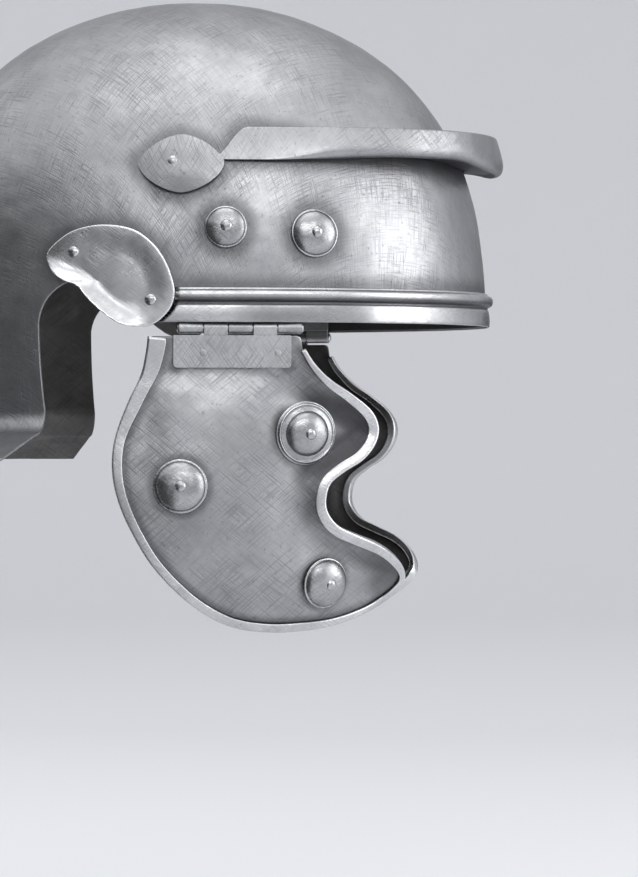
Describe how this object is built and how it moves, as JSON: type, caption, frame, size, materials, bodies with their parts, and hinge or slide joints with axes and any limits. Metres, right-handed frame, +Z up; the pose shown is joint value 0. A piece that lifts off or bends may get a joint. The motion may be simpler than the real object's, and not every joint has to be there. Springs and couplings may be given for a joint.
{
  "type": "roman legionary helmet",
  "caption": "Iron infantry helmet with a brow guard, moulded rim, ear guards, a broad neck guard and hinged cheek guards set with domed bosses.",
  "frame": {"origin": "inside of the crown, on the middle line, where the helmet sits on the head", "axes": "+Z up, -Y towards the front, -X towards the wearer's right"},
  "size_m": [0.256, 0.3323, 0.2601],
  "materials": {
    "iron": "burnished iron, finely scratched and lightly hammered",
    "tinned": "tinned trim, brighter and smoother than the iron"
  },
  "bodies": {
    "helmet": {"bowl": "iron", "brow_guard": "iron", "bowl_leaf_right": "iron", "bowl_leaf_left": "iron", "brow_band": "tinned", "ear_guard_right": "tinned", "hinge_pin_right": "tinned", "bowl_boss_1_right": "tinned", "bowl_boss_1_rivet_right": "tinned", "ear_rivet_1_right": "tinned", "bowl_leaf_rivet_1_right": "tinned", "bowl_boss_2_right": "tinned", "bowl_boss_2_rivet_right": "tinned", "ear_rivet_2_right": "tinned", "bowl_leaf_rivet_2_right": "tinned", "tab_rivet_right": "tinned", "ear_guard_left": "tinned", "hinge_pin_left": "tinned", "bowl_boss_1_left": "tinned", "bowl_boss_1_rivet_left": "tinned", "ear_rivet_1_left": "tinned", "bowl_leaf_rivet_1_left": "tinned", "bowl_boss_2_left": "tinned", "bowl_boss_2_rivet_left": "tinned", "ear_rivet_2_left": "tinned", "bowl_leaf_rivet_2_left": "tinned", "tab_rivet_left": "tinned"},
    "cheek_right": {"cheek_guard_right": "iron", "cheek_leaf_right": "iron", "cheek_edging_right": "tinned", "cheek_leaf_rivet_1_right": "tinned", "cheek_leaf_rivet_2_right": "tinned", "cheek_boss_1_right": "tinned", "cheek_boss_1_rivet_right": "tinned", "cheek_boss_2_right": "tinned", "cheek_boss_2_rivet_right": "tinned", "cheek_boss_3_right": "tinned", "cheek_boss_3_rivet_right": "tinned"},
    "cheek_left": {"cheek_guard_left": "iron", "cheek_leaf_left": "iron", "cheek_edging_left": "tinned", "cheek_leaf_rivet_1_left": "tinned", "cheek_leaf_rivet_2_left": "tinned", "cheek_boss_1_left": "tinned", "cheek_boss_1_rivet_left": "tinned", "cheek_boss_2_left": "tinned", "cheek_boss_2_rivet_left": "tinned", "cheek_boss_3_left": "tinned", "cheek_boss_3_rivet_left": "tinned"}
  },
  "joints": [
    {"name": "cheek_hinge_right", "type": "hinge", "parent": "helmet", "child": "cheek_right", "pos_m": [-0.0969, -0.026, -0.1366], "axis": [-0.1772, 0.9842, 0], "range_deg": [-15, 75]},
    {"name": "cheek_hinge_left", "type": "hinge", "parent": "helmet", "child": "cheek_left", "pos_m": [0.0969, -0.026, -0.1366], "axis": [-0.1772, -0.9842, 0], "range_deg": [-15, 75]}
  ]
}
